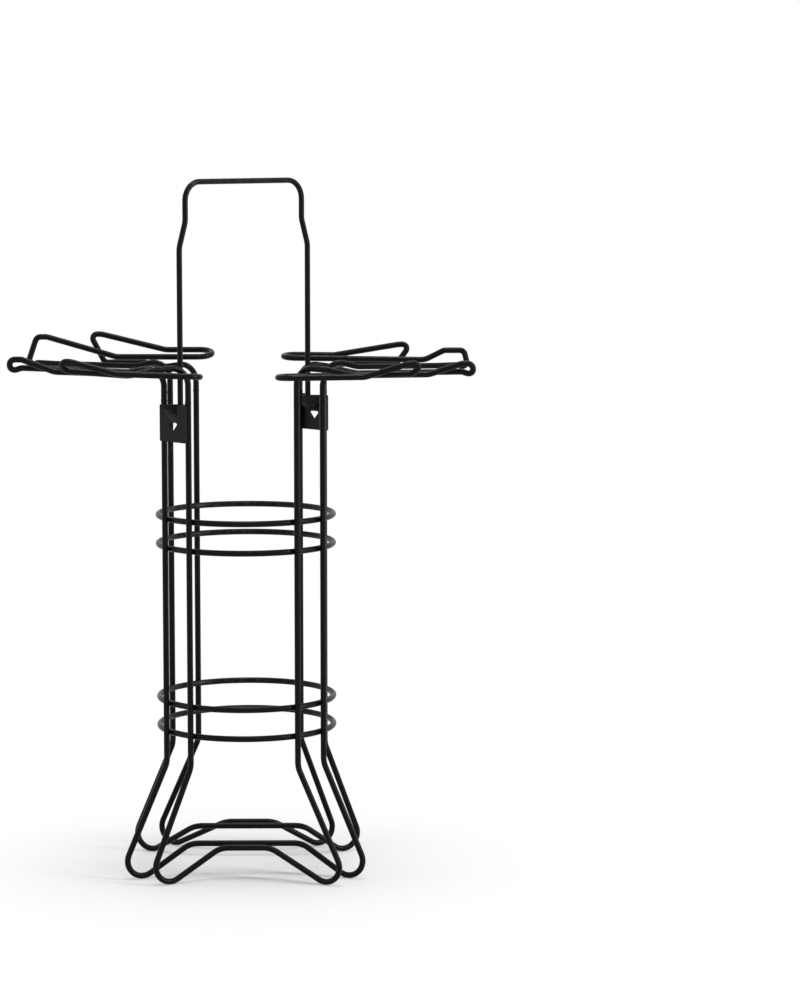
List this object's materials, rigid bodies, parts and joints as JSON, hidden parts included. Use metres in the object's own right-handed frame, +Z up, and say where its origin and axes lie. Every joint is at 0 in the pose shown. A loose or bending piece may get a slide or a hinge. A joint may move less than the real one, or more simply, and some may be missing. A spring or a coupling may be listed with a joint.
{
  "type": "bottle caddy",
  "caption": "Black steel wire caddy: a ringed cage on splayed feet holds a wine bottle, looped racks hang stem glasses at the sides, and a tall bail handle carries it.",
  "frame": {"origin": "on the table below the middle of the bottle well, midway between the feet", "axes": "+X to the right seen from the front, +Y to the back, +Z up the bottle well's axis"},
  "size_m": [0.2444, 0.1252, 0.3715],
  "materials": {
    "frame_paint": "satin black powder coat over steel wire",
    "rack_paint": "satin black powder coat over steel wire",
    "bracket_paint": "satin black powder coat over pressed steel sheet",
    "handle_paint": "satin black powder coat over steel wire"
  },
  "bodies": {
    "caddy": {"base_wire_front_inner": "frame_paint", "base_wire_front_outer": "frame_paint", "base_wire_rear_inner": "frame_paint", "base_wire_rear_outer": "frame_paint", "ring_lower_bottom": "frame_paint", "ring_lower_top": "frame_paint", "ring_upper_bottom": "frame_paint", "ring_upper_top": "frame_paint", "glass_rack_front_left": "rack_paint", "glass_rack_front_right": "rack_paint", "glass_rack_rear_left": "rack_paint", "glass_rack_rear_right": "rack_paint", "handle_bracket_left": "bracket_paint", "handle_bracket_right": "bracket_paint"},
    "handle": {"handle": "handle_paint"}
  },
  "joints": [
    {"name": "handle_lift_out", "type": "slide", "parent": "caddy", "child": "handle", "axis": [0, 0, 1], "range_m": [0, 0.06]}
  ]
}
